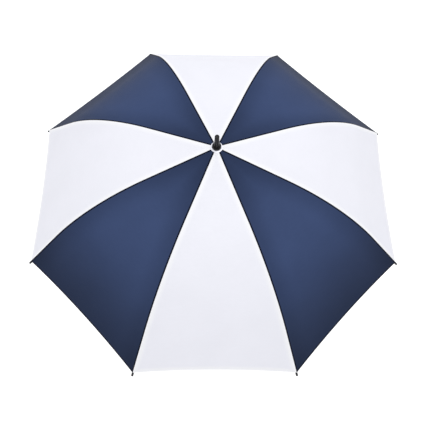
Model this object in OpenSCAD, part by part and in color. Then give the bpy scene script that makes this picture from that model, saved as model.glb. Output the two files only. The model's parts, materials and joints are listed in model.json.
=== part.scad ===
// Golf umbrella with eight ribs, drawn open: an assembly of separate pieces.
// The origin is the lower end of the straight grip, on the shaft's axis, and +Z points up the shaft.
// The front white panel faces -Y.

/* [Canopy] */
// Height of the canopy's apex above the lower end of the grip
apex_z = 943; // [930:1:1000]
// Length of the straight stretch of a panel seam next to the apex
seam_crown_len = 231; // [225:1:240]
// Radius of the curved stretch of a panel seam
seam_bend_r = 583; // [570:1:600]
// Length of the straight stretch of a panel seam next to the hem
seam_hem_len = 161; // [150:1:165]
// Slope of a seam at the apex, in degrees
crown_slope = 10.3; // [10:0.1:11]
// Angle that a seam turns through along its curved stretch, in degrees
seam_turn = 34.8; // [33:0.1:36]
// Thickness of the fabric, with its coating
fabric_t = 1; // [0.8:0.1:1]
// How far the hem rises between two ribs, along the fabric
hem_rise = 10; // [6:1:20]
// How far the fabric pulls in between two ribs, near the hem
panel_sag = 2; // [0:1:12]

/* [Frame] */
// Radius of the fibreglass rib and stretcher rods
rod_r = 2.2; // [2:0.1:2.2]
// Radius of the rib ends, which are thinner and bend
rib_end_r = 2; // [1.6:0.1:2]
// Radius of the ring of hinges in the notch and in the runner
hinge_ring_r = 12; // [12:0.1:12.5]
// Radius of the wire that the ribs and stretchers hinge on
wire_r = 0.7; // [0.6:0.05:0.75]
// Depth of a rod's middle below the middle of the fabric
rod_depth = 4.3; // [4.2:0.1:4.6]
// Length along the rib from its hinge to its joint with the stretcher
joint_at = 356; // [340:1:370]
// Depth of the stretcher's rivet below the middle of the rib
rivet_depth = 8; // [7.8:0.1:8.5]
// Radius of the rivet that joins a rib to its stretcher
rivet_r = 1; // [0.8:0.1:1.1]

/* [Shaft] */
// Outer radius of the shaft
shaft_r = 7; // [6.8:0.1:7]
// Wall thickness of the shaft
shaft_wall = 1.5; // [1:0.1:2]
// Length of the runner's sleeve below its hinges
runner_len = 42; // [36:1:42]
// Height of the ferrule above the canopy's apex
ferrule_h = 59; // [50:1:75]
// Radius of the ferrule's flange
ferrule_flange_r = 13.5; // [12:0.5:15]
// Outer radius of the round rosette over the middle of the canopy
rosette_r = 18; // [17:0.5:26]

/* [Handle] */
// Radius of the grip
grip_r = 17; // [15:0.5:18]
// Length of the straight part of the grip
grip_len = 150; // [120:1:150]
// Height of the collar where the grip tapers to the shaft
collar_h = 18; // [12:1:18]
// Thickness of the cap under the grip
cap_h = 9; // [7:1:12]

/* [Hidden] */
rib_count = 8;
rib_step = 360 / rib_count;
half_step = rib_step / 2;
first_rib_angle = -90 - half_step;
white = "#f0f2fc";
navy = "#26304f";
black = "#17181a";
steel = "#b9bdc2";
grey = "#3a3c40";
clear_gap = 0.3;
tab_t = 2.4;
eye_r = 2.4;
round_fn = 48;
bend_fn = 720;

// The seam and the rib below it, in a plane through the shaft: x outward, z up from the apex.
rim_slope = crown_slope + seam_turn;
bend_len = seam_bend_r * seam_turn * PI / 180;
seam_len = seam_crown_len + bend_len + seam_hem_len;
function slope_at(s) = crown_slope + min(max(s - seam_crown_len, 0), bend_len) / seam_bend_r * 180 / PI;
function along(slope) = [cos(slope), -sin(slope)];
function outward(slope) = [sin(slope), cos(slope)];
bend_centre = seam_crown_len * along(crown_slope) - seam_bend_r * outward(crown_slope);
function seam_point(s) =
    s < seam_crown_len ? s * along(crown_slope)
    : bend_centre + seam_bend_r * outward(slope_at(s))
        + max(s - seam_crown_len - bend_len, 0) * along(rim_slope);

// Rib: a straight rod, a bend and a straight end, rod_depth below the seam.
rod_bend_r = seam_bend_r - rod_depth;
hinge_s = hinge_ring_r / cos(crown_slope) + rod_depth * tan(crown_slope);
hinge_point = seam_point(hinge_s) - rod_depth * outward(crown_slope);
rod_crown_len = seam_crown_len - hinge_s;
joint_slope = crown_slope + (joint_at - rod_crown_len) / rod_bend_r * 180 / PI;
joint_point = bend_centre + rod_bend_r * outward(joint_slope);
rivet_point = joint_point - rivet_depth * outward(joint_slope);
// Step in radius where one stretch of a rod runs a little way into the next.
splice = 0.03;
// The rib end starts at the mouth of the rib joint, with a round knuckle.
joint_half = 13;
knuckle_r = rib_end_r + splice;
knuckle_play = 0.3;
mouth_slope = joint_slope + joint_half / rod_bend_r * 180 / PI;
mouth_point = bend_centre + rod_bend_r * outward(mouth_slope);
rim_start = bend_centre + rod_bend_r * outward(rim_slope);
// The cap on the rib's tip reaches past the fabric.
tip_cap_len = 29;
tip_cap_past = 17;
tip_rod_len = seam_hem_len + tip_cap_past - 4;

// Stretcher: as long as the line from the rib's hinge to the rivet, so the runner hinge is
// straight below the rib's hinge at every angle of the frame.
stretcher_len = norm(rivet_point - hinge_point);
stretcher_slope = atan2(hinge_point[1] - rivet_point[1], rivet_point[0] - hinge_point[0]);
runner_hinge = [hinge_ring_r, 2 * rivet_point[1] - hinge_point[1]];
rod_start = 6;

function numbered(name) = [for (k = [1:rib_count]) str(name, "_", k)];

// A disc on edge with its axis along Y, in the plane of a rib.
module edge_disc(r, width) {
    rotate([90, 0, 0])
        cylinder(r = r, h = width, center = true, $fn = round_fn);
}

// Puts its children at a point of the rib's plane, with their +X along the given slope.
module on_slope(point, slope) {
    translate([point[0], 0, point[1]])
        rotate([0, slope, 0])
            children();
}

// Puts its children in the plane of rib k, measured from the canopy's apex.
module at_rib(k) {
    translate([0, 0, apex_z])
        rotate([0, 0, first_rib_angle + (k - 1) * rib_step])
            children();
}

// A straight rod along +X.
module rod(r, from, to) {
    translate([from, 0, 0])
        rotate([0, 90, 0])
            cylinder(r = r, h = to - from, $fn = round_fn);
}

// A rod that follows the rib's bend between two slopes.
module bent_rod(r, from_slope, to_slope) {
    translate([bend_centre[0], 0, bend_centre[1]])
        rotate([90, 0, 0])
            rotate([0, 0, 90 - to_slope])
                rotate_extrude(angle = to_slope - from_slope, $fn = bend_fn)
                    translate([rod_bend_r, 0])
                        circle(r = r, $fn = round_fn);
}

// The flat tab at the end of a rod, with its eye for a wire or a rivet.
module eye_tab(hole_r, reach) {
    difference() {
        union() {
            edge_disc(eye_r, tab_t);
            translate([0, -tab_t / 2, -1.8])
                cube([reach, tab_t, 3.6]);
        }
        edge_disc(hole_r, tab_t + 1);
    }
}

// Inner rib: tab on the notch wire, straight rod and the first part of the bend.
module rib() {
    color(black) {
        on_slope(hinge_point, crown_slope) {
            eye_tab(wire_r + 0.15, rod_start + 1);
            rod(rod_r - splice, rod_start, rod_crown_len + 1);
        }
        bent_rod(rod_r, crown_slope, joint_slope);
    }
}

// Rib joint: the sleeve that holds rib and rib end, with two ears for the stretcher.
sleeve_r = 3.3;
sleeve_top = 2.8;
ear_r = 2.7;
ear_t = 1.4;
ear_y = tab_t / 2 + 0.25;
ear_slot_len = 18;

module rib_joint_sleeve() {
    rod(sleeve_r, -joint_half, joint_half - 0.1);
    for (side = [-1, 1])
        translate([0, side * (ear_y + ear_t / 2), 0]) {
            translate([0, 0, -rivet_depth])
                edge_disc(ear_r, ear_t);
            translate([-ear_r, -ear_t / 2, -rivet_depth])
                cube([2 * ear_r, ear_t, rivet_depth]);
        }
}

// What is cut from the sleeve: a slot for the stretcher's tab, the rivet's hole, a flat under the
// fabric and a round seat for the knuckle of the rib end.
module rib_joint_cuts() {
    translate([-ear_slot_len / 2, -ear_y, -rivet_depth - ear_r - 1])
        cube([ear_slot_len, 2 * ear_y, rivet_depth + ear_r + 1]);
    translate([0, 0, -rivet_depth])
        edge_disc(rivet_r + 0.05, 20);
    translate([-joint_half - 1, -sleeve_r - 1, sleeve_top])
        cube([2 * joint_half + 2, 2 * sleeve_r + 2, sleeve_r]);
    translate([joint_half, 0, -knuckle_play / 2])
        edge_disc(knuckle_r + knuckle_play, 2 * (rib_end_r + knuckle_play));
}

module rivet() {
    edge_disc(rivet_r, 2 * (ear_y + ear_t) + 0.4);
    for (side = [-1, 1])
        translate([0, side * (ear_y + ear_t + 0.4), 0])
            edge_disc(rivet_r + 0.8, 0.7);
}

module rib_joint() {
    color(grey)
        difference() {
            on_slope(joint_point, joint_slope)
                difference() {
                    rib_joint_sleeve();
                    rib_joint_cuts();
                }
            bent_rod(rod_r, crown_slope, joint_slope);
        }
    color(steel)
        on_slope(joint_point, joint_slope)
            translate([0, 0, -rivet_depth])
                rivet();
}

// Outer rib: knuckle in the rib joint, the rest of the bend and the straight end.
module rib_end() {
    color(black) {
        on_slope(mouth_point, mouth_slope)
            edge_disc(knuckle_r, 2 * rib_end_r);
        bent_rod(rib_end_r, mouth_slope, rim_slope);
        on_slope(rim_start, rim_slope)
            rod(rib_end_r - splice, -1, tip_rod_len);
    }
}

// Tip cap: holds the corner of the fabric to the end of the rib.
module tip_cap() {
    bead = 1.5;
    end_x = seam_hem_len + tip_cap_past;
    ball_r = rib_end_r + bead;
    color(black)
        on_slope(rim_start, rim_slope)
            rotate([0, 90, 0])
                difference() {
                    union() {
                        translate([0, 0, end_x - tip_cap_len])
                            cylinder(r = rib_end_r + 0.55, h = tip_cap_len - ball_r, $fn = round_fn);
                        translate([0, 0, end_x - tip_cap_past + 3])
                            cylinder(r = ball_r, h = tip_cap_past - 3 - ball_r, $fn = round_fn);
                        translate([0, 0, end_x - ball_r])
                            sphere(r = ball_r, $fn = round_fn);
                    }
                    cylinder(r = rib_end_r - splice, h = tip_rod_len, $fn = round_fn);
                }
}

// Stretcher: rod with a tab at the runner wire and a tab at the rivet.
module stretcher() {
    color(black)
        on_slope(runner_hinge, -stretcher_slope) {
            eye_tab(wire_r + 0.15, rod_start + 1);
            rod(rod_r, rod_start, stretcher_len - rod_start);
            translate([stretcher_len, 0, 0])
                mirror([1, 0, 0])
                    eye_tab(rivet_r + 0.05, rod_start + 1);
        }
}

// Canopy panel: the fabric between two ribs. across runs from -1 at one rib to 1 at the next,
// down runs from 0 at the crown to 1 at the hem, and lift is measured out of the fabric.
panel_start = 9.5;
panel_rows = 20;
panel_cols = 8;
function hem_s(across) = seam_len - hem_rise * (1 - across * across);
function panel_slope(s) = atan(tan(slope_at(s)) / cos(half_step));
function panel_point(down, across, lift) =
    let (
        s = panel_start + down * (hem_s(across) - panel_start),
        seam = seam_point(s),
        side = across * (seam[0] * sin(half_step) - clear_gap - 0.05),
        inward = panel_sag * (1 - across * across) * s / seam_len - lift,
        slope = panel_slope(s)
    )
    [seam[0] * cos(half_step) - inward * sin(slope), side, seam[1] - inward * cos(slope)];
function panel_index(layer, row, col) =
    (layer * (panel_rows + 1) + row) * (panel_cols + 1) + col;
// Two triangles over a quad; the second layer and the far sides are turned over.
function quad(a, b, c, d, turned) =
    turned ? [[a, d, c], [a, c, b]] : [[a, b, c], [a, c, d]];

module canopy_panel(k) {
    points = [for (layer = [0, 1]) for (row = [0:panel_rows]) for (col = [0:panel_cols])
        panel_point(row / panel_rows, 2 * col / panel_cols - 1, (0.5 - layer) * fabric_t)];
    sheets = [for (layer = [0, 1]) for (row = [0:panel_rows - 1]) for (col = [0:panel_cols - 1])
        each quad(
            panel_index(layer, row, col), panel_index(layer, row, col + 1),
            panel_index(layer, row + 1, col + 1), panel_index(layer, row + 1, col), layer == 1
        )];
    seams = [for (col = [0, panel_cols]) for (row = [0:panel_rows - 1])
        each quad(
            panel_index(0, row, col), panel_index(0, row + 1, col),
            panel_index(1, row + 1, col), panel_index(1, row, col), col == panel_cols
        )];
    ends = [for (row = [0, panel_rows]) for (col = [0:panel_cols - 1])
        each quad(
            panel_index(0, row, col), panel_index(1, row, col),
            panel_index(1, row, col + 1), panel_index(0, row, col + 1), row == panel_rows
        )];
    color(k % 2 == 1 ? white : navy)
        translate([0, 0, apex_z])
            rotate([0, 0, first_rib_angle + (k - 0.5) * rib_step])
                polyhedron(points = points, faces = concat(sheets, seams, ends));
}

// Closure strap: hangs inside the back panel, sewn beside a rib.
module closure_strap() {
    strap_len = 90;
    strap_w = 14;
    strap_t = 1.2;
    beside = 4.5;
    drop = 4.5;
    start = rim_start + 4 * along(rim_slope);
    seam_dir = [cos(rim_slope), 0, -sin(rim_slope)];
    across_dir = [-sin(half_step), cos(half_step), 0];
    up = cross(seam_dir, across_dir);
    up_dir = up / norm(up);
    side_dir = cross(up_dir, seam_dir);
    place = [start[0], 0, start[1]] + beside * side_dir - drop * up_dir;
    color(navy)
        at_rib(5)
            multmatrix([
                [seam_dir[0], side_dir[0], up_dir[0], place[0]],
                [seam_dir[1], side_dir[1], up_dir[1], place[1]],
                [seam_dir[2], side_dir[2], up_dir[2], place[2]],
                [0, 0, 0, 1]
            ])
                union() {
                    translate([strap_w / 2, 0, 0])
                        cube([strap_len - strap_w / 2, strap_w, strap_t]);
                    translate([strap_w / 2, strap_w / 2, 0])
                        cylinder(r = strap_w / 2, h = strap_t, $fn = round_fn);
                }
}

// Radial slots for the tabs of the ribs or stretchers, cut through the given heights.
module tab_slots(low, high) {
    for (k = [1:rib_count])
        rotate([0, 0, first_rib_angle + (k - 1) * rib_step])
            translate([hinge_ring_r - eye_r - 0.6, -tab_t / 2 - 0.4, low])
                cube([20, tab_t + 0.8, high - low]);
}

// The ring of wire through all the eyes.
module hinge_wire(z) {
    color(steel)
        translate([0, 0, z])
            rotate_extrude($fn = 96)
                translate([hinge_ring_r, 0])
                    circle(r = wire_r, $fn = 24);
}

// Groove that the wire lies in.
module wire_groove(z) {
    translate([0, 0, z])
        rotate_extrude($fn = 96)
            translate([hinge_ring_r, 0])
                circle(r = wire_r, $fn = 24);
}

crown_r = hinge_ring_r + 2.6;
notch_z = apex_z + hinge_point[1];
runner_z = apex_z + runner_hinge[1];

// Notch: fixed to the top of the shaft, with a slot for each rib.
module notch() {
    color(black)
        difference() {
            translate([0, 0, notch_z - 3])
                cylinder(r = crown_r, h = 4.6, $fn = 96);
            translate([0, 0, notch_z - 4])
                cylinder(r = shaft_r, h = 7, $fn = 96);
            tab_slots(notch_z - 4, notch_z + 3);
            wire_groove(notch_z);
        }
}

module notch_wire() {
    hinge_wire(notch_z);
}

// Runner: slides on the shaft, with a slot for each stretcher and a window for the bottom catch.
module runner() {
    bore_r = shaft_r + 0.25;
    sleeve_r = 10.6;
    collar_r = 12.6;
    window_w = 4;
    color(black)
        difference() {
            union() {
                translate([0, 0, runner_z - 6])
                    cylinder(r = crown_r, h = 8.6, $fn = 96);
                translate([0, 0, runner_z - 12])
                    cylinder(r1 = sleeve_r, r2 = crown_r, h = 6, $fn = 96);
                translate([0, 0, runner_z - runner_len])
                    cylinder(r = sleeve_r, h = runner_len - 10, $fn = 96);
                translate([0, 0, runner_z - runner_len])
                    cylinder(r = collar_r, h = 4, $fn = 96);
            }
            translate([0, 0, runner_z - runner_len - 1])
                cylinder(r = bore_r, h = runner_len + 6, $fn = 96);
            tab_slots(runner_z - 3.4, runner_z + 4);
            wire_groove(runner_z);
            translate([0, -window_w / 2, runner_z - 30])
                cube([crown_r, window_w, 11]);
        }
}

module runner_wire() {
    hinge_wire(runner_z);
}

// Spring catch: a steel blade in a slot of the shaft. Its blunt end stops the runner.
catch_len = 22;
catch_reach = 2.4;
blade_t = 1.8;
top_catch_z = runner_z - runner_len - 0.4;
closed_runner_z = notch_z - 2 * stretcher_len + 0.1;
bottom_catch_z = closed_runner_z - 28.5;

module catch_blade() {
    color(steel)
        rotate([90, 0, 0])
            linear_extrude(height = blade_t, center = true)
                polygon([
                    [shaft_r - 3, 0],
                    [shaft_r + catch_reach, 0],
                    [shaft_r + catch_reach, -1.2],
                    [shaft_r - 0.2, -10],
                    [shaft_r - 0.2, -catch_len],
                    [shaft_r - 3, -catch_len]
                ]);
}

module catch_slot() {
    translate([shaft_r - 3.5, -blade_t / 2 - clear_gap, -catch_len - 0.6])
        cube([6, blade_t + 2 * clear_gap, catch_len + 1.2]);
}

module top_catch() {
    translate([0, 0, top_catch_z])
        catch_blade();
}

module bottom_catch() {
    translate([0, 0, bottom_catch_z])
        mirror([0, 0, 1])
            catch_blade();
}

// Shaft: a tube from inside the grip to the ferrule.
shaft_foot = 25;
shaft_top = apex_z + 0.4;
module shaft() {
    color(black)
        difference() {
            translate([0, 0, shaft_foot])
                cylinder(r = shaft_r, h = shaft_top - shaft_foot, $fn = 96);
            translate([0, 0, shaft_foot - 1])
                cylinder(r = shaft_r - shaft_wall, h = shaft_top - shaft_foot + 2, $fn = 96);
            translate([0, 0, top_catch_z])
                catch_slot();
            translate([0, 0, bottom_catch_z])
                mirror([0, 0, 1])
                    catch_slot();
        }
}

// Rosette: the round washer over the middle of the canopy, under the ferrule.
module crown_rosette() {
    hole_r = shaft_r + 0.2;
    lift = fabric_t / 2 + clear_gap;
    drop = tan(crown_slope);
    color(white)
        translate([0, 0, apex_z + lift])
            rotate_extrude($fn = 96)
                polygon([
                    [hole_r, -hole_r * drop],
                    [rosette_r, -rosette_r * drop],
                    [rosette_r, -rosette_r * drop + 0.5],
                    [rosette_r - 1, -(rosette_r - 1) * drop + 0.8],
                    [hole_r, -hole_r * drop + 0.8]
                ]);
}

// Ferrule: a spike with a flange and a hexagon, screwed into the shaft through the rosette.
module ferrule() {
    flange_top = 6.5;
    hex_top = 10.5;
    cone_top = 15;
    neck_r = 7.8;
    tip_r = 6.8;
    spigot = 14;
    dome = [for (a = [0:15:90]) [tip_r - 3 + 3 * cos(a), ferrule_h - 3 + 3 * sin(a)]];
    color(black)
        translate([0, 0, apex_z]) {
            rotate_extrude($fn = 96)
                polygon(concat([
                    [0, -spigot],
                    [shaft_r - shaft_wall, -spigot],
                    [shaft_r - shaft_wall, 0.4],
                    [ferrule_flange_r, 0.4],
                    [ferrule_flange_r, flange_top - 0.8],
                    [ferrule_flange_r - 0.8, flange_top],
                    [8.4, flange_top],
                    [8.4, hex_top],
                    [neck_r, cone_top],
                    [tip_r, ferrule_h - 12]
                ], dome, [[0, ferrule_h]]));
            translate([0, 0, flange_top])
                cylinder(r = 10.4, h = hex_top - flange_top, $fn = 6);
        }
}

// Grip: straight foam grip with a tapered collar.
module grip() {
    color(black)
        difference() {
            union() {
                cylinder(r = grip_r, h = grip_len, $fn = 96);
                translate([0, 0, grip_len])
                    cylinder(r1 = grip_r, r2 = 11, h = collar_h, $fn = 96);
            }
            translate([0, 0, -1])
                cylinder(r = shaft_r, h = grip_len + collar_h + 2, $fn = 96);
        }
}

// End cap: closes the grip, with a plug up its bore.
module end_cap() {
    edge = 4;
    rim = [for (a = [0:15:90]) [grip_r - edge + edge * sin(a), -cap_h + edge - edge * cos(a)]];
    color(grey)
        rotate_extrude($fn = 96)
            polygon(concat(
                [[0, -cap_h]],
                rim,
                [[grip_r, 0], [shaft_r, 0], [shaft_r, shaft_foot - 2], [0, shaft_foot - 2]]
            ));
}

shaft();
ferrule();
crown_rosette();
notch();
notch_wire();
runner();
runner_wire();
top_catch();
bottom_catch();
grip();
end_cap();
closure_strap();
for (k = [1:rib_count]) {
    at_rib(k) rib();
    at_rib(k) rib_joint();
    at_rib(k) rib_end();
    at_rib(k) tip_cap();
    at_rib(k) stretcher();
    canopy_panel(k);
}
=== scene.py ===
"""Looks of the golf umbrella: the sewn canopy, its strap and every material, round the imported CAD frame.

Metres, +Z up the shaft. Ribs and canopy panels have the numbers of their CAD nodes: panel k lies between
rib k and rib k + 1, and panel 1 faces -Y. A length "down" the canopy is measured from the apex along a seam.
"""
import json
import math

import bpy
import numpy as np
from mathutils import Matrix, Vector


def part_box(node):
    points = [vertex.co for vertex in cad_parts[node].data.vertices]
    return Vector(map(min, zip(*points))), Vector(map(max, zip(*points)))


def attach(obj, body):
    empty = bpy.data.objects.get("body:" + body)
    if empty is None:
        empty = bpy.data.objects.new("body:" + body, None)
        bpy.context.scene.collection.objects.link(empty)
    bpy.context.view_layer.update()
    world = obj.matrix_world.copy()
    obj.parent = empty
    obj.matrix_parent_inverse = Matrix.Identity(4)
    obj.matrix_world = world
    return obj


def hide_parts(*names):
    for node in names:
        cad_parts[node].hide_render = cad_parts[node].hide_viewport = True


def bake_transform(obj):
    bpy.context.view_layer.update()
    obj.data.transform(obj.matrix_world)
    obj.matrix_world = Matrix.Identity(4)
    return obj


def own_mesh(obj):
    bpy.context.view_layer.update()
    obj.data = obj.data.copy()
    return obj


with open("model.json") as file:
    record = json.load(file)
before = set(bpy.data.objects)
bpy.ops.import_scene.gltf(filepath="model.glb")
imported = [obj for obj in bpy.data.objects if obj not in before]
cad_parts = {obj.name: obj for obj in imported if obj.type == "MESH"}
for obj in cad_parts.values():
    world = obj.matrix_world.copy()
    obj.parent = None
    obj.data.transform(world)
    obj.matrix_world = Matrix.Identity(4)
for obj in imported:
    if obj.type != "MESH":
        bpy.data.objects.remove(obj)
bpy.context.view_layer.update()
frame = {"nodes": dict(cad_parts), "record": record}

# ---------------------------------------------------------------- sizes, as in the CAD model
MM = 0.001
RIB_COUNT = 8
HALF_STEP = math.pi / RIB_COUNT
FIRST_RIB_ANGLE = -math.pi / 2 - HALF_STEP
FERRULE_H = 59 * MM
APEX_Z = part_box("ferrule")[1][2] - FERRULE_H
SEAM_CROWN_LEN = 231 * MM
SEAM_BEND_R = 583 * MM
SEAM_HEM_LEN = 161 * MM
CROWN_SLOPE = math.radians(10.3)
SEAM_TURN = math.radians(34.8)
RIM_SLOPE = CROWN_SLOPE + SEAM_TURN
BEND_LEN = SEAM_BEND_R * SEAM_TURN
SEAM_LEN = SEAM_CROWN_LEN + BEND_LEN + SEAM_HEM_LEN
HEM_RISE = 10 * MM
PANEL_SAG = 2 * MM
ROD_DEPTH = 4.3 * MM
HINGE_RING_R = 12 * MM
PANEL_START = 9.5 * MM
# MOUTH_DOWN is how far down the seam the mouth of the rib joint lies, where the rib end turns.
HINGE_DOWN = HINGE_RING_R / math.cos(CROWN_SLOPE) + ROD_DEPTH * math.tan(CROWN_SLOPE)
RIB_JOINT_AT = 356 * MM
RIB_JOINT_HALF = 13 * MM
MOUTH_TURN = (RIB_JOINT_AT - SEAM_CROWN_LEN + HINGE_DOWN + RIB_JOINT_HALF) / (SEAM_BEND_R - ROD_DEPTH)
MOUTH_DOWN = SEAM_CROWN_LEN + MOUTH_TURN * SEAM_BEND_R

# ---------------------------------------------------------------- camera, at the photograph's angle
# It stands off from the apex by so many corner radii of the canopy, and shifts the apex in its frame by
# VIEW_RIGHT and VIEW_UP. FOCAL_SHARE is the focal length as a share of the frame's width.
VIEW_ELEVATION = math.radians(67.356)
VIEW_AZIMUTH = math.radians(3.096)
VIEW_ROLL = math.radians(3.163)
CORNER_R = 0.650
VIEW_DISTANCE = 2.3076 * CORNER_R
VIEW_RIGHT = 0.00728 * CORNER_R
VIEW_UP = 0.30483 * CORNER_R
FRAME_WIDTH = 36.0
FOCAL_SHARE = 1.19877


def make_camera():
    """Sets the scene's camera, looking down on the apex from in front and from a little to the left."""
    forward = Vector((0, math.cos(VIEW_ELEVATION), -math.sin(VIEW_ELEVATION)))
    level = Vector((1, 0, 0))
    upright = Vector((0, math.sin(VIEW_ELEVATION), math.cos(VIEW_ELEVATION)))
    right = level * math.cos(VIEW_ROLL) + upright * math.sin(VIEW_ROLL)
    up = upright * math.cos(VIEW_ROLL) - level * math.sin(VIEW_ROLL)
    place = -forward * VIEW_DISTANCE - right * VIEW_RIGHT - up * VIEW_UP
    pose = Matrix((right, up, -forward)).transposed().to_4x4()
    pose.translation = place
    data = bpy.data.cameras.new("camera")
    data.sensor_width = FRAME_WIDTH
    data.lens = FRAME_WIDTH * FOCAL_SHARE
    data.clip_end = 60
    camera = bpy.data.objects.new("camera", data)
    bpy.context.scene.collection.objects.link(camera)
    camera.matrix_world = Matrix.Translation((0, 0, APEX_Z)) @ Matrix.Rotation(-VIEW_AZIMUTH, 4, "Z") @ pose
    bpy.context.scene.camera = camera


# ---------------------------------------------------------------- shader helpers
class Shader:
    """A material with one Principled node, and short names for the nodes that feed it."""

    def __init__(self, name, rough, **values):
        self.material = bpy.data.materials.new(name)
        self.material.use_nodes = True
        self.tree = self.material.node_tree
        self.surface = self.tree.nodes["Principled BSDF"]
        self.surface.inputs["Roughness"].default_value = rough
        for socket, value in values.items():
            self.surface.inputs[socket.replace("_", " ")].default_value = value

    def node(self, kind, **settings):
        node = self.tree.nodes.new("ShaderNode" + kind)
        for name, value in settings.items():
            setattr(node, name, value)
        return node

    def feed(self, socket, value):
        if isinstance(value, bpy.types.NodeSocket):
            self.tree.links.new(value, socket)
        else:
            socket.default_value = value

    def math(self, operation, *values, clamp=False):
        node = self.node("Math", operation=operation, use_clamp=clamp)
        for socket, value in zip(node.inputs, values):
            self.feed(socket, value)
        return node.outputs[0]

    def ramp(self, value, low, high, at_low=0.0, at_high=1.0):
        """A smooth step from at_low to at_high, as value goes from low to high."""
        node = self.node("MapRange", interpolation_type="SMOOTHSTEP")
        names = ("Value", "From Min", "From Max", "To Min", "To Max")
        for name, given in zip(names, (value, low, high, at_low, at_high)):
            self.feed(node.inputs[name], given)
        return node.outputs["Result"]

    def uv(self, name):
        """The two distances of one of the sheet's maps, in metres."""
        node = self.node("UVMap", uv_map=name)
        parts = self.node("SeparateXYZ")
        self.tree.links.new(node.outputs["UV"], parts.inputs[0])
        return parts.outputs["X"], parts.outputs["Y"]

    def place(self):
        return self.node("TexCoord").outputs["Object"]

    def noise(self, scale, detail=2.0, stretch=(1, 1, 1), where=None):
        mapping = self.node("Mapping")
        mapping.inputs["Scale"].default_value = stretch
        self.feed(mapping.inputs["Vector"], where or self.place())
        node = self.node("TexNoise")
        self.feed(node.inputs["Vector"], mapping.outputs["Vector"])
        node.inputs["Scale"].default_value = scale
        node.inputs["Detail"].default_value = detail
        return node.outputs["Fac"]

    def mix(self, share, first, second):
        node = self.node("Mix", data_type="RGBA")
        self.feed(node.inputs["Factor"], share)
        self.feed(node.inputs["A"], first)
        self.feed(node.inputs["B"], second)
        return node.outputs["Result"]

    def bump(self, height, distance, strength, below=None):
        node = self.node("Bump")
        node.inputs["Strength"].default_value = strength
        node.inputs["Distance"].default_value = distance
        self.feed(node.inputs["Height"], height)
        if below is not None:
            self.feed(node.inputs["Normal"], below)
        return node.outputs["Normal"]

    def wear(self, value):
        self.feed(self.surface.inputs["Roughness"], value)

    def colour(self, value):
        self.feed(self.surface.inputs["Base Color"], value)

    def normal(self, value):
        self.feed(self.surface.inputs["Normal"], value)


def rgb(red, green, blue):
    return (red, green, blue, 1.0)


def scaled(colour, share):
    return rgb(*(channel * share for channel in colour[:3]))


# ---------------------------------------------------------------- fabric
THREAD_PITCH = 0.7 * MM
STITCH_PITCH = 3.2 * MM
STITCH_W = 0.45 * MM
STITCH_CORE = 0.4
STITCH_GAP = (-0.75, -0.35)
STITCH_SHOW = 0.8
HEM_STITCH = 7.3 * MM
THREAD_H = 0.05 * MM
STITCH_H = 0.2 * MM
PUCKER_SPAN = (2 * MM, 26 * MM)
PUCKERS_PER_M = (55, 120, 1)
# Painted shade: how much darker the cloth is painted near the crown, the hem and a seam: from, to, and by
# what share.
CROWN_PAINTED_SHADE = (10 * MM, 330 * MM, 0.36)
HEM_PAINTED_SHADE = (-40 * MM, 400 * MM, 0.62)
SEAM_PAINTED_SHADE = (0.0, 80 * MM, 0.22)


def weave(shader):
    """Plain weave: threads both ways, each going over and under in turn. Returns its height."""
    across, down = shader.uv("Weave")
    turn = 2 * math.pi / THREAD_PITCH
    one_way = shader.math("SINE", shader.math("MULTIPLY", across, turn))
    other_way = shader.math("SINE", shader.math("MULTIPLY", down, turn))
    return shader.math("MULTIPLY", one_way, other_way)


def stitches(shader, along, distance, at):
    """1 on the stitches of a row that runs at the given distance from an edge."""
    off_line = shader.math("ABSOLUTE", shader.math("SUBTRACT", distance, at))
    line = shader.ramp(off_line, STITCH_W * STITCH_CORE, STITCH_W, 1.0, 0.0)
    wave = shader.math("SINE", shader.math("MULTIPLY", along, 2 * math.pi / STITCH_PITCH))
    return shader.math("MULTIPLY", line, shader.ramp(wave, *STITCH_GAP))


def painted_panel_shade(shader, from_seam, down, from_hem, painted_shade_depth):
    """Painted shade: the share of its colour that the cloth keeps, less towards the crown, the hem and the
    seams.
    """
    tone = 1.0
    for distance, shade in ((down, CROWN_PAINTED_SHADE), (from_hem, HEM_PAINTED_SHADE), (from_seam, SEAM_PAINTED_SHADE)):
        start, end, share = shade
        tone = shader.math("MULTIPLY", tone, shader.ramp(distance, start, end, 1 - share * painted_shade_depth, 1.0))
    return tone


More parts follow.
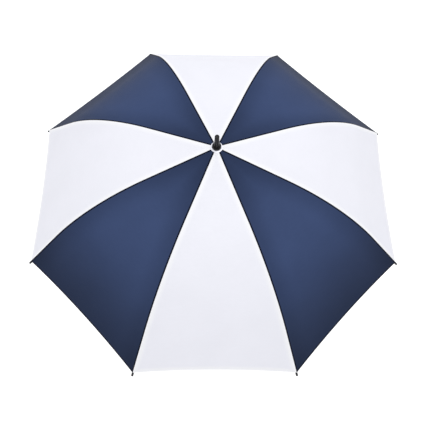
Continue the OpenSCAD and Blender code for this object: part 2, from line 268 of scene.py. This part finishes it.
def fabric(name, colour, edge, thread, rough, specular, painted_shade_depth, mottle, slack, edge_w, seam_rows):
    """Coated polyester: weave, soft puckers beside the seams, stitch rows, and edges of another tone.

    depth says how much painted shade painted_panel_shade puts on the cloth, darker towards the crown, the
    hem and the seams.
    mottle and slack say how uneven the colour and the surface are. edge_w gives where the edge's tone starts
    to fade and where it ends; on the navy that near-black edge is partly painted shade. seam_rows are the
    distances of the stitch rows from a seam.
    """
    shader = Shader(name, rough, Specular_IOR_Level=specular)
    from_seam, down = shader.uv("Seam")
    along_hem, from_hem = shader.uv("Hem")
    patches = shader.noise(scale=9.0, detail=3.0)
    streaks = shader.noise(scale=60.0, stretch=(1, 1, 6))
    tone = shader.math("ADD", shader.math("MULTIPLY", patches, 0.7), shader.math("MULTIPLY", streaks, 0.3))
    cloth = shader.mix(shader.ramp(tone, 0.3, 0.7), scaled(colour, 1 - mottle), scaled(colour, 1 + mottle))
    # Painted shade: the cloth is darkened towards the crown, the hem and the seams.
    cloth = shader.mix(painted_panel_shade(shader, from_seam, down, from_hem, painted_shade_depth), rgb(0, 0, 0), cloth)
    # Edges of another tone. On the navy the near-black edge is partly the sewn edge's own tone, partly
    # painted shade.
    at_seam = shader.ramp(from_seam, *edge_w, 1.0, 0.0)
    at_hem = shader.ramp(from_hem, *edge_w, 1.0, 0.0)
    cloth = shader.mix(shader.math("MAXIMUM", at_seam, at_hem), cloth, edge)
    rows = stitches(shader, along_hem, from_hem, HEM_STITCH)
    for at in seam_rows:
        rows = shader.math("MAXIMUM", rows, stitches(shader, down, from_seam, at))
    shader.colour(shader.mix(shader.math("MULTIPLY", rows, STITCH_SHOW), cloth, thread))
    near_seam = shader.ramp(from_seam, *PUCKER_SPAN, 1.0, 0.0)
    on_map = shader.node("UVMap", uv_map="Seam").outputs["UV"]
    pucker = shader.noise(scale=1.0, detail=1.5, stretch=PUCKERS_PER_M, where=on_map)
    folds = shader.bump(shader.math("MULTIPLY", pucker, near_seam), slack, strength=0.5)
    waves = shader.bump(shader.noise(scale=14.0), slack, strength=0.35, below=folds)
    threads = shader.bump(weave(shader), THREAD_H, strength=0.5, below=waves)
    shader.normal(shader.bump(rows, STITCH_H, strength=0.6, below=threads))
    return shader.material


# ---------------------------------------------------------------- hard materials
def moulded(name, colour, rough, specular):
    """Moulded plastic: a fine spark-eroded grain, and faint paler patches: partly handling marks, partly
    painted highlights.
    """
    shader = Shader(name, rough, Specular_IOR_Level=specular)
    # Paler, rougher patches: partly marks of handling, partly painted highlights.
    handling_and_highlights = shader.noise(scale=38.0, detail=4.0, stretch=(1, 1, 0.35))
    paler = scaled(colour, 1.7)
    shader.colour(shader.mix(shader.ramp(handling_and_highlights, 0.35, 0.75), colour, paler))
    shader.wear(shader.ramp(handling_and_highlights, 0.3, 0.75, rough - 0.07, rough + 0.1))
    shader.normal(shader.bump(shader.noise(scale=2600.0), 0.06 * MM, strength=0.35))
    return shader.material


def fibreglass(name, colour, rough):
    """Pultruded fibreglass: fine lengthwise fibres under a smooth resin skin."""
    shader = Shader(name, rough, Coat_Weight=0.35, Coat_Roughness=0.18)
    fibres = shader.noise(scale=420.0, detail=3.0, stretch=(1, 1, 0.12))
    paler = scaled(colour, 2.2)
    shader.colour(shader.mix(shader.ramp(fibres, 0.35, 0.7), colour, paler))
    shader.wear(shader.ramp(fibres, 0.3, 0.7, rough - 0.06, rough + 0.12))
    shader.normal(shader.bump(fibres, 0.05 * MM, strength=0.4))
    return shader.material


def brushed_steel(name, dull, bright):
    """Spring steel with fine lengthwise lines."""
    shader = Shader(name, 0.32, Metallic=1.0)
    lines = shader.noise(scale=900.0, detail=3.0, stretch=(1, 1, 0.08))
    shader.colour(shader.mix(lines, dull, bright))
    shader.wear(shader.ramp(lines, 0.25, 0.75, 0.24, 0.42))
    shader.normal(shader.bump(lines, 0.02 * MM, strength=0.4))
    return shader.material


def foam(name, fresh, worn):
    """Moulded foam: closed cells under a matt skin, with patches worn smoother and paler by the hand."""
    shader = Shader(name, 0.82, Sheen_Weight=0.15, Specular_IOR_Level=0.3)
    cells = shader.node("TexVoronoi", feature="SMOOTH_F1")
    cells.inputs["Scale"].default_value = 900.0
    shader.feed(cells.inputs["Vector"], shader.place())
    wear = shader.noise(scale=26.0, detail=3.0, stretch=(1, 1, 0.5))
    shader.colour(shader.mix(shader.ramp(wear, 0.35, 0.8), fresh, worn))
    shader.wear(shader.ramp(wear, 0.3, 0.8, 0.88, 0.7))
    pores = shader.bump(cells.outputs["Distance"], 0.25 * MM, strength=0.6)
    shader.normal(shader.bump(shader.noise(scale=2200.0), 0.08 * MM, strength=0.4, below=pores))
    return shader.material


def hook_tape(name, band, hook):
    """Hook-and-loop tape: dense little hooks on a woven band."""
    shader = Shader(name, 0.7, Specular_IOR_Level=0.3)
    hooks = shader.node("TexVoronoi", feature="F1")
    hooks.inputs["Scale"].default_value = 1100.0
    shader.feed(hooks.inputs["Vector"], shader.place())
    height = hooks.outputs["Distance"]
    shader.colour(shader.mix(shader.ramp(height, 0.1, 0.6), band, hook))
    shader.normal(shader.bump(height, 0.3 * MM, strength=0.8))
    return shader.material


WHITE = rgb(0.868, 0.873, 0.945)
NAVY = rgb(0.0475, 0.0735, 0.166)
# The navy's near-black sewn edges: partly their own darker tone, partly painted shade.
NAVY_EDGE_AND_SHADE = rgb(0.006, 0.008, 0.018)
MATERIALS = {
    "white_fabric": fabric(
        "white_fabric", WHITE, rgb(0.93, 0.935, 0.965), scaled(WHITE, 0.95), 0.6, 0.25, 0.03,
        mottle=0.012, slack=0.35 * MM, edge_w=(2 * MM, 20 * MM), seam_rows=()),
    "navy_fabric": fabric(
        "navy_fabric", NAVY, NAVY_EDGE_AND_SHADE, rgb(0.012, 0.017, 0.040), 0.6, 0.04, 1.0,
        mottle=0.04, slack=1.0 * MM, edge_w=(4.2 * MM, 5.8 * MM), seam_rows=(1.1 * MM, 4.0 * MM)),
    "black_fibreglass": fibreglass("black_fibreglass", rgb(0.010, 0.010, 0.011), 0.34),
    "black_plastic": moulded("black_plastic", rgb(0.007, 0.007, 0.008), 0.4, 0.28),
    "grey_plastic": moulded("grey_plastic", rgb(0.032, 0.034, 0.037), 0.48, 0.5),
    "white_plastic": moulded("white_plastic", scaled(WHITE, 0.99), 0.5, 0.5),
    "spring_steel": brushed_steel("spring_steel", rgb(0.42, 0.43, 0.45), rgb(0.66, 0.67, 0.69)),
    "grip_foam": foam("grip_foam", rgb(0.012, 0.012, 0.013), rgb(0.030, 0.030, 0.031)),
    "hook_tape": hook_tape("hook_tape", rgb(0.030, 0.031, 0.035), rgb(0.006, 0.006, 0.007)),
}


def finish_cad_nodes():
    """Gives every CAD node the material of its slot in the record."""
    for row in frame["record"]["subparts"]:
        node = frame["nodes"][row["node"]]
        material = MATERIALS[row["material_slot"]]
        if node.material_slots:
            for place in node.material_slots:
                place.material = material
        else:
            node.data.materials.append(material)


# ---------------------------------------------------------------- the canopy's surface
NORMAL_STEP = 0.5 * MM
NORMAL_SIDE_STEP = 0.002


def slope_at(down):
    return CROWN_SLOPE + np.clip(down - SEAM_CROWN_LEN, 0, BEND_LEN) / SEAM_BEND_R


def seam_point(down):
    """Distance from the shaft's axis and height above the apex, for points of a seam."""
    slope = slope_at(down)
    straight = np.minimum(down, SEAM_CROWN_LEN)
    past = np.maximum(down - SEAM_CROWN_LEN - BEND_LEN, 0)
    bend = SEAM_BEND_R * (np.sin(slope) - math.sin(CROWN_SLOPE))
    drop = SEAM_BEND_R * (math.cos(CROWN_SLOPE) - np.cos(slope))
    out = straight * math.cos(CROWN_SLOPE) + bend + past * math.cos(RIM_SLOPE)
    height = -straight * math.sin(CROWN_SLOPE) - drop - past * math.sin(RIM_SLOPE)
    return out, height


def half_width(down):
    return seam_point(down)[0] * math.sin(HALF_STEP)


def hem_down(across):
    """How far down the hem lies. It rises between the ribs."""
    return SEAM_LEN - HEM_RISE * (1 - across * across)


def turned(points, angle):
    """Turns rows of points about the shaft's axis."""
    c, s = math.cos(angle), math.sin(angle)
    x, y = points[..., 0], points[..., 1]
    return np.stack((c * x - s * y, s * x + c * y, points[..., 2]), axis=-1)


def fabric_point(panel, down, across, lift):
    """Points of a canopy panel. across is -1 at the panel's own rib and 1 at the next one."""
    out, height = seam_point(down)
    slope = np.arctan(np.tan(slope_at(down)) / math.cos(HALF_STEP))
    inward = PANEL_SAG * (1 - across * across) * down / SEAM_LEN - lift
    points = np.stack((
        out * math.cos(HALF_STEP) - inward * np.sin(slope),
        across * out * math.sin(HALF_STEP),
        APEX_Z + height - inward * np.cos(slope),
    ), axis=-1)
    return turned(points, FIRST_RIB_ANGLE + (panel - 0.5) * 2 * HALF_STEP)


def unit(vectors):
    return vectors / np.linalg.norm(vectors, axis=-1, keepdims=True)


def fabric_normal(panel, down, across):
    """The outward normals of a canopy panel, from points close round each point."""
    def point(more_down, more_across):
        return fabric_point(panel, down + more_down, across + more_across, 0.0)

    along = point(NORMAL_STEP, 0) - point(-NORMAL_STEP, 0)
    aside = point(0, NORMAL_SIDE_STEP) - point(0, -NORMAL_SIDE_STEP)
    return unit(np.cross(along, aside))


# ---------------------------------------------------------------- canopy pieces
FABRIC_T = 0.5 * MM
# Profiles of the sewn edges: distances from the edge in mm, and heights as shares.
FELL_H = 0.45 * MM
HEM_SHARE = 0.4
FELL_PROFILE = ((0, 0.5, 1.1, 2.4, 4.0, 4.7), (0.1, 1, 0.8, 1, 0.8, 0))
HEM_PROFILE = ((0, 0.5, 1.4, 5, 7.3, 8.6, 9.6), (-0.1, 0.35, 0.5, 0.45, -0.15, 0.1, 0))
HEM_FOLD_PROFILE = ((0, 0.5, 8.6, 9.6), (0.5, 1, 1, 0))
# The mesh: its columns beside a seam, of which the one numbered SEWN ends the sewn edge, and its rows above
# the hem. Where half a panel is narrower than SEAM_SHRINK_W, the columns draw together.
SEAM_COLUMNS = np.array([0, 0.5, 1.1, 2.4, 4.0, 4.7, 6.5, 11.0]) * MM
SEWN = 5
MIDDLE_COLUMNS = 9
SEAM_SHRINK_W = 16 * MM
HEM_ROWS = np.array([13.0, 9.6, 8.6, 7.3, 5.0, 1.4, 0.5, 0]) * MM
ROW_PITCH = 7 * MM
# The bands below the rib joint reach this far under the band above, as a thin tongue that hides the gap.
BEND_LAP = 15 * MM
BAND_LAP = 8 * MM
UNDERLAP_STEP = 0.4 * MM
UNDERLAP_TOP = -0.28 * MM
UNDERLAP_T = 0.12 * MM

# Each half of a panel is sewn to one rib and moves with it. Its sewn edge, out to column SEWN, keeps its
# shape. For each band the table gives a fold of the rest towards that edge, as when the umbrella closes:
# lean is how far the direction of the fold leans towards the rib's normal, as a slope, and keep is the share
# of the width that is left, so that the halves of a panel meet in a valley between their two closed ribs.
# The bands are not folded here, and all of them are one smooth surface when the umbrella is open.
CAP_END = 31 * MM
BANDS = (
    # end, keep, lean
    (80 * MM, 0.166, -0.21),
    (145 * MM, 0.111, -0.093),
    (220 * MM, 0.089, -0.047),
    (300 * MM, 0.078, -0.018),
    (MOUTH_DOWN, 0.065, 0.006),
    (430 * MM, 0.053, 0.189),
    (490 * MM, 0.058, 0.182),
    (570 * MM, 0.067, 0.195),
    (655 * MM, 0.066, 0.213),
    (SEAM_LEN, 0.058, 0.223),
)
WHOLE = slice(None)
SEWN_EDGE = slice(0, SEWN + 1)
FIELD = slice(SEWN, None)


def rib_of(panel, side):
    """The rib that a half of a panel is sewn to. side is -1 for the left half and 1 for the right one."""
    return panel if side < 0 else panel % RIB_COUNT + 1


def rib_axes(rib):
    """Unit vectors out along a rib, seen from above, and across it."""
    angle = FIRST_RIB_ANGLE + (rib - 1) * 2 * HALF_STEP
    return Vector((math.cos(angle), math.sin(angle), 0)), Vector((-math.sin(angle), math.cos(angle), 0))


def rib_point(rib, down, lift=0.0):
    """A point above or below a seam, lift away from it along its normal."""
    out, height = seam_point(down)
    slope = slope_at(down)
    reach = float(out + lift * np.sin(slope))
    rise = float(height + lift * np.cos(slope))
    return rib_axes(rib)[0] * reach + Vector((0, 0, APEX_Z + rise))


def distances_from_seam(down):
    """Where a half panel's columns lie: close together in the sewn edge, then even to the middle."""
    width = half_width(down)
    sewn = SEAM_COLUMNS * np.minimum(1, width / SEAM_SHRINK_W)[:, None]
    shares = np.arange(1, MIDDLE_COLUMNS + 1) / MIDDLE_COLUMNS
    rest = sewn[:, -1:] + (width[:, None] - sewn[:, -1:]) * shares
    return np.concatenate((sewn, rest), axis=1)


def on_profile(distance, profile):
    places, heights = profile
    return np.interp(distance, np.array(places) * MM, heights)


def edge_lift(from_seam, from_hem, navy):
    """How far the sewn edges stand out of the fabric: a felled seam on the navy side, and the folded hem."""
    fell = on_profile(from_seam, FELL_PROFILE) if navy else 0
    return FELL_H * (fell + HEM_SHARE * on_profile(from_hem, HEM_PROFILE))


def row_places(top, end):
    """Even rows between two distances down the seam, about ROW_PITCH apart."""
    count = max(2, round((end - top) / ROW_PITCH))
    return np.linspace(top, end, count + 1)


def closed_sheet(rows, columns, flipped):
    """Faces between and round two grids of points, and each face's layer: 0 outer, 1 inner, 2 the rim."""
    count = rows * columns
    faces = []
    layers = []
    for layer in (0, 1):
        for row in range(rows - 1):
            for column in range(columns - 1):
                corner = layer * count + row * columns + column
                quad = (corner, corner + columns, corner + columns + 1, corner + 1)
                faces.append(quad[::-1] if (layer == 1) != flipped else quad)
                layers.append(layer)
    border = list(range(columns))
    border += [row * columns + columns - 1 for row in range(1, rows)]
    border += [(rows - 1) * columns + column for column in range(columns - 2, -1, -1)]
    border += [row * columns for row in range(rows - 2, 0, -1)]
    for first, second in zip(border, border[1:] + border[:1]):
        wall = (first, second, second + count, first + count)
        faces.append(wall[::-1] if flipped else wall)
        layers.append(2)
    return faces, layers


def make_sheet(name, outer, inner, smooth, maps, material, flipped=False):
    """A thin closed sheet with smooth normals and the maps that the fabric's shader reads, in metres."""
    rows, columns = outer.shape[:2]
    count = rows * columns
    faces, layers = closed_sheet(rows, columns, flipped)
    mesh = bpy.data.meshes.new(name)
    mesh.from_pydata(np.concatenate((outer, inner)).reshape(-1, 3).tolist(), [], faces)
    mesh.update()
    corner = np.empty(len(mesh.loops), np.int64)
    mesh.loops.foreach_get("vertex_index", corner)
    flat = corner % count
    for map_name, first, second in maps:
        places = [np.broadcast_to(part, (rows, columns)).reshape(-1)[flat] for part in (first, second)]
        places = np.stack(places, axis=1).astype(np.float32)
        mesh.uv_layers.new(name=map_name).data.foreach_set("uv", places.ravel())
    smooth = smooth.reshape(-1, 3)
    normals = np.empty((len(mesh.loops), 3))
    for face, layer in zip(mesh.polygons, layers):
        face.use_smooth = True
        for loop in face.loop_indices:
            normals[loop] = face.normal if layer == 2 else smooth[flat[loop]] * (1 - 2 * layer)
    mesh.normals_split_custom_set(normals.tolist())
    mesh.materials.append(MATERIALS[material])
    piece = bpy.data.objects.new(name, mesh)
    bpy.context.scene.collection.objects.link(piece)
    return piece


def fabric_of(panel):
    return "navy_fabric" if panel % 2 == 0 else "white_fabric"


def half_panel(name, panel, side, top, end, part):
    """A piece of half a panel, between two distances down its seam. part says which of its columns."""
    at_hem = end == SEAM_LEN
    seam_rows = row_places(top, SEAM_LEN - HEM_ROWS[0] if at_hem else end)
    if at_hem:
        seam_rows = np.concatenate((seam_rows, SEAM_LEN - HEM_ROWS[1:]))
    from_seam = distances_from_seam(seam_rows)[:, part]
    across = side * (1 - from_seam / half_width(seam_rows)[:, None])
    down = np.broadcast_to(seam_rows[:, None], across.shape)
    hem_share = (down - MOUTH_DOWN) / (SEAM_LEN - HEM_ROWS[0] - MOUTH_DOWN)
    down = down - (SEAM_LEN - hem_down(across)) * np.clip(hem_share, 0, 1)
    from_hem = hem_down(across) - down
    lift = edge_lift(from_seam, from_hem, panel % 2 == 0)
    hem_fold = on_profile(from_hem, HEM_FOLD_PROFILE) * FABRIC_T
    over = lift + FABRIC_T / 2
    under = -FABRIC_T / 2 - hem_fold
    if top >= MOUTH_DOWN:
        lap = (BEND_LAP if top == MOUTH_DOWN else BAND_LAP) * np.sqrt(np.clip(1 - across[:1] ** 2, 0, 1))
        down = np.concatenate((down[:1] - lap, down[:1] - UNDERLAP_STEP, down))
        grids = (across, from_seam, from_hem, over, under)
        grids = [np.concatenate((grid[:1], grid[:1], grid)) for grid in grids]
        across, from_seam, from_hem, over, under = grids
        over[:2] = UNDERLAP_TOP
        under[:2] = UNDERLAP_TOP - UNDERLAP_T
    outer = fabric_point(panel, down, across, over)
    inner = fabric_point(panel, down, across, under)
    smooth = fabric_normal(panel, down, across)
    aside = across * half_width(down)
    maps = (("Weave", aside, down), ("Seam", from_seam, down), ("Hem", aside, from_hem))
    return make_sheet(name, outer, inner, smooth, maps, fabric_of(panel), side > 0)


def sew(panel):
    """Hides the CAD node of a panel, which the pieces of its fabric stand in for."""
    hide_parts(f"canopy_panel_{panel}")


def fold_in(piece):
    """Gives a piece a mesh of its own."""
    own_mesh(piece)


def cover_half(panel, side, name):
    """Makes half a panel: a cap over the rib's hinge, the sewn edges, and the bands, on their rib or rib
    end.
    """
    rib = rib_of(panel, side)
    cap = half_panel(f"{name}_cap", panel, side, PANEL_START, CAP_END, WHOLE)
    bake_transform(cap)
    sew(panel)
    for body, top, end in (("rib", CAP_END, MOUTH_DOWN), ("rib_end", MOUTH_DOWN, SEAM_LEN)):
        edge = half_panel(f"{name}_{body}_edge", panel, side, top, end, SEWN_EDGE)
        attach(edge, f"{body}_{rib}")
        sew(panel)
    top = CAP_END
    for number, (end, keep, lean) in enumerate(BANDS, 1):
        band = half_panel(f"{name}_band_{number}", panel, side, top, end, FIELD)
        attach(band, f"rib_{rib}" if end <= MOUTH_DOWN else f"rib_end_{rib}")
        fold_in(band)
        sew(panel)
        top = end


# ---------------------------------------------------------------- closure strap
# It hangs under the left half of panel STRAP_RIB. Its free end starts STRAP_START down the rib end, and lies
# STRAP_BESIDE it and STRAP_DROP below it. Its last STRAP_SEWN rises by STRAP_RISE to the fabric.
STRAP_RIB = 5
STRAP_LEN = 90 * MM
STRAP_W = 14 * MM
STRAP_T = 0.9 * MM
STRAP_START = 4 * MM
STRAP_BESIDE = 4.5 * MM
STRAP_DROP = 4.5 * MM
STRAP_SEWN = 24 * MM
STRAP_RISE = 6.5 * MM
STRAP_EASE = 0.7
STRAP_WAVE = 0.5 * MM
STRAP_WAVE_LEN = 40 * MM
STRAP_TIP_HALF = 1 * MM
STRAP_FOLD_SHARE = 0.25
STRAP_FOLD_PROFILE = ((0, 0.4, 2.2, 2.8), (0, 1, 1, 0))
STRAP_COLUMNS = np.array([0, 0.03, 0.09, 0.14, 0.25, 0.375, 0.5, 0.625, 0.75, 0.86, 0.91, 0.97, 1])
STRAP_ROWS = np.concatenate((np.array([0, 0.5, 1.2, 2.0]) * MM, np.linspace(3.2 * MM, STRAP_LEN, 44)))
# Where the strap lies on the fabric's maps: just past a seam's edge, and well inside a panel.
MAP_FROM_SEAM = 3 * MM
MAP_INSIDE = 400 * MM
# The hook patch under the strap.
PATCH_FROM = 5 * MM
PATCH_LEN = 26 * MM
PATCH_W = 11 * MM
PATCH_T = 0.9 * MM
PATCH_SUNK = 0.05 * MM
HOOK_H = 0.3 * MM
HOOK_ROWS = 53
HOOK_COLUMNS = 23


def strap_axes():
    """The strap's frame: its start, and unit vectors down the seam, aside and out of the fabric."""
    outward, aside = rib_axes(STRAP_RIB)
    down = outward * math.cos(RIM_SLOPE) - Vector((0, 0, math.sin(RIM_SLOPE)))
    across = aside * math.cos(HALF_STEP) - outward * math.sin(HALF_STEP)
    up = down.cross(across).normalized()
    side = up.cross(down)
    start = rib_point(STRAP_RIB, SEAM_CROWN_LEN + BEND_LEN, -ROD_DEPTH) + STRAP_START * down
    return start + STRAP_BESIDE * side - STRAP_DROP * up, down, side, up


def strap_height(along):
    """Height of the strap's underside: slightly wavy, and rising to the fabric where it is sewn on."""
    share = np.clip((along - STRAP_LEN + STRAP_SEWN) / (STRAP_SEWN * STRAP_EASE), 0, 1)
    wave = STRAP_WAVE * (1 + np.sin(along * 2 * math.pi / STRAP_WAVE_LEN)) / 2
    return wave + STRAP_RISE * share * share * (3 - 2 * share)


def strap_points(along, aside, height):
    start, down, side, up = (np.array(axis) for axis in strap_axes())
    return start + along[..., None] * down + aside[..., None] * side + height[..., None] * up


def grid_normals(points):
    return unit(np.cross(np.gradient(points, axis=0), np.gradient(points, axis=1)))


def tuck_in(piece):
    """The strap rides the rib end beside which it hangs, with the fabric that it hangs from."""
    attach(piece, f"rib_end_{STRAP_RIB}")
    fold_in(piece)


def make_strap():
    """Navy fabric, folded in and stitched at the edges, with a rounded free end."""
    along, share = np.meshgrid(STRAP_ROWS, STRAP_COLUMNS, indexing="ij")
    radius = STRAP_W / 2
    half_squared = radius ** 2 - np.clip(radius - along, 0, radius) ** 2
    half = np.sqrt(np.clip(half_squared, STRAP_TIP_HALF ** 2, None))
    aside = radius + (2 * share - 1) * half
    from_edge = np.minimum(half - np.abs(aside - radius), STRAP_LEN - along)
    fold = STRAP_FOLD_SHARE * STRAP_T * on_profile(from_edge, STRAP_FOLD_PROFILE)
    base = strap_height(along)
    outer = strap_points(along, aside, base + STRAP_T + fold)
    inner = strap_points(along, aside, base)
    maps = (
        ("Weave", aside, along),
        ("Seam", from_edge + MAP_FROM_SEAM, along + MAP_INSIDE),
        ("Hem", aside, np.full_like(aside, MAP_INSIDE)),
    )
    strap = make_sheet("closure_strap_fabric", outer, inner, grid_normals(outer), maps, "navy_fabric")
    tuck_in(strap)
    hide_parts("closure_strap")


def make_hooks():
    """The strap's hook patch, with its hooks standing up in turn like a draughtboard's squares."""
    rows = np.linspace(PATCH_FROM, PATCH_FROM + PATCH_LEN, HOOK_ROWS)
    columns = np.linspace((STRAP_W - PATCH_W) / 2, (STRAP_W + PATCH_W) / 2, HOOK_COLUMNS)
    along, aside = np.meshgrid(rows, columns, indexing="ij")
    hooks = (np.indices(along.shape).sum(axis=0) % 2) * HOOK_H
    base = strap_height(along)
    outer = strap_points(along, aside, base - PATCH_SUNK)
    inner = strap_points(along, aside, base - PATCH_T - hooks)
    maps = (("Weave", aside, along),)
    patch = make_sheet("closure_strap_hooks", outer, inner, grid_normals(outer), maps, "hook_tape")
    tuck_in(patch)


# ---------------------------------------------------------------- studio
FLOOR_Z = -1.1
FLOOR_GLOW = 0.50
SKY_STRENGTH = 0.79
AIM = Vector((0, 0, 0.8))
LAMPS = (
    # name, place, size, power
    ("overhead", Vector((0.1, 0.0, 3.2)), 1.5, 13),
    ("rear", Vector((0.3, 1.6, 2.9)), 1.5, 5),
)


def make_stage():
    """A plain pale floor, an even white surround and two soft lamps."""
    bpy.ops.mesh.primitive_circle_add(radius=80, vertices=96, fill_type="NGON", location=(0, 0, FLOOR_Z))
    floor = bpy.context.object
    floor.name = "floor"
    shader = Shader("floor", 0.9, Specular_IOR_Level=0.1)
    grain = shader.noise(scale=3.0)
    shader.colour(shader.mix(grain, rgb(0.90, 0.90, 0.90), rgb(0.92, 0.92, 0.92)))
    shader.surface.inputs["Emission Color"].default_value = rgb(1, 1, 1)
    shader.surface.inputs["Emission Strength"].default_value = FLOOR_GLOW
    floor.data.materials.append(shader.material)
    world = bpy.data.worlds.new("studio")
    world.use_nodes = True
    world.node_tree.nodes["Background"].inputs["Color"].default_value = rgb(1.0, 1.0, 1.0)
    world.node_tree.nodes["Background"].inputs["Strength"].default_value = SKY_STRENGTH
    bpy.context.scene.world = world
    for name, place, size, power in LAMPS:
        light = bpy.data.lights.new(name, "AREA")
        light.shape = "DISK"
        light.size = size
        light.energy = power
        lamp = bpy.data.objects.new(name, light)
        lamp.location = place
        lamp.rotation_euler = (AIM - place).to_track_quat("-Z", "Y").to_euler()
        bpy.context.scene.collection.objects.link(lamp)
    bpy.context.scene.view_settings.view_transform = "Standard"


# ---------------------------------------------------------------- build
make_camera()
finish_cad_nodes()
for panel_number in range(1, RIB_COUNT + 1):
    cover_half(panel_number, -1, f"canopy_{panel_number}_left")
    cover_half(panel_number, 1, f"canopy_{panel_number}_right")
make_strap()
make_hooks()
make_stage()
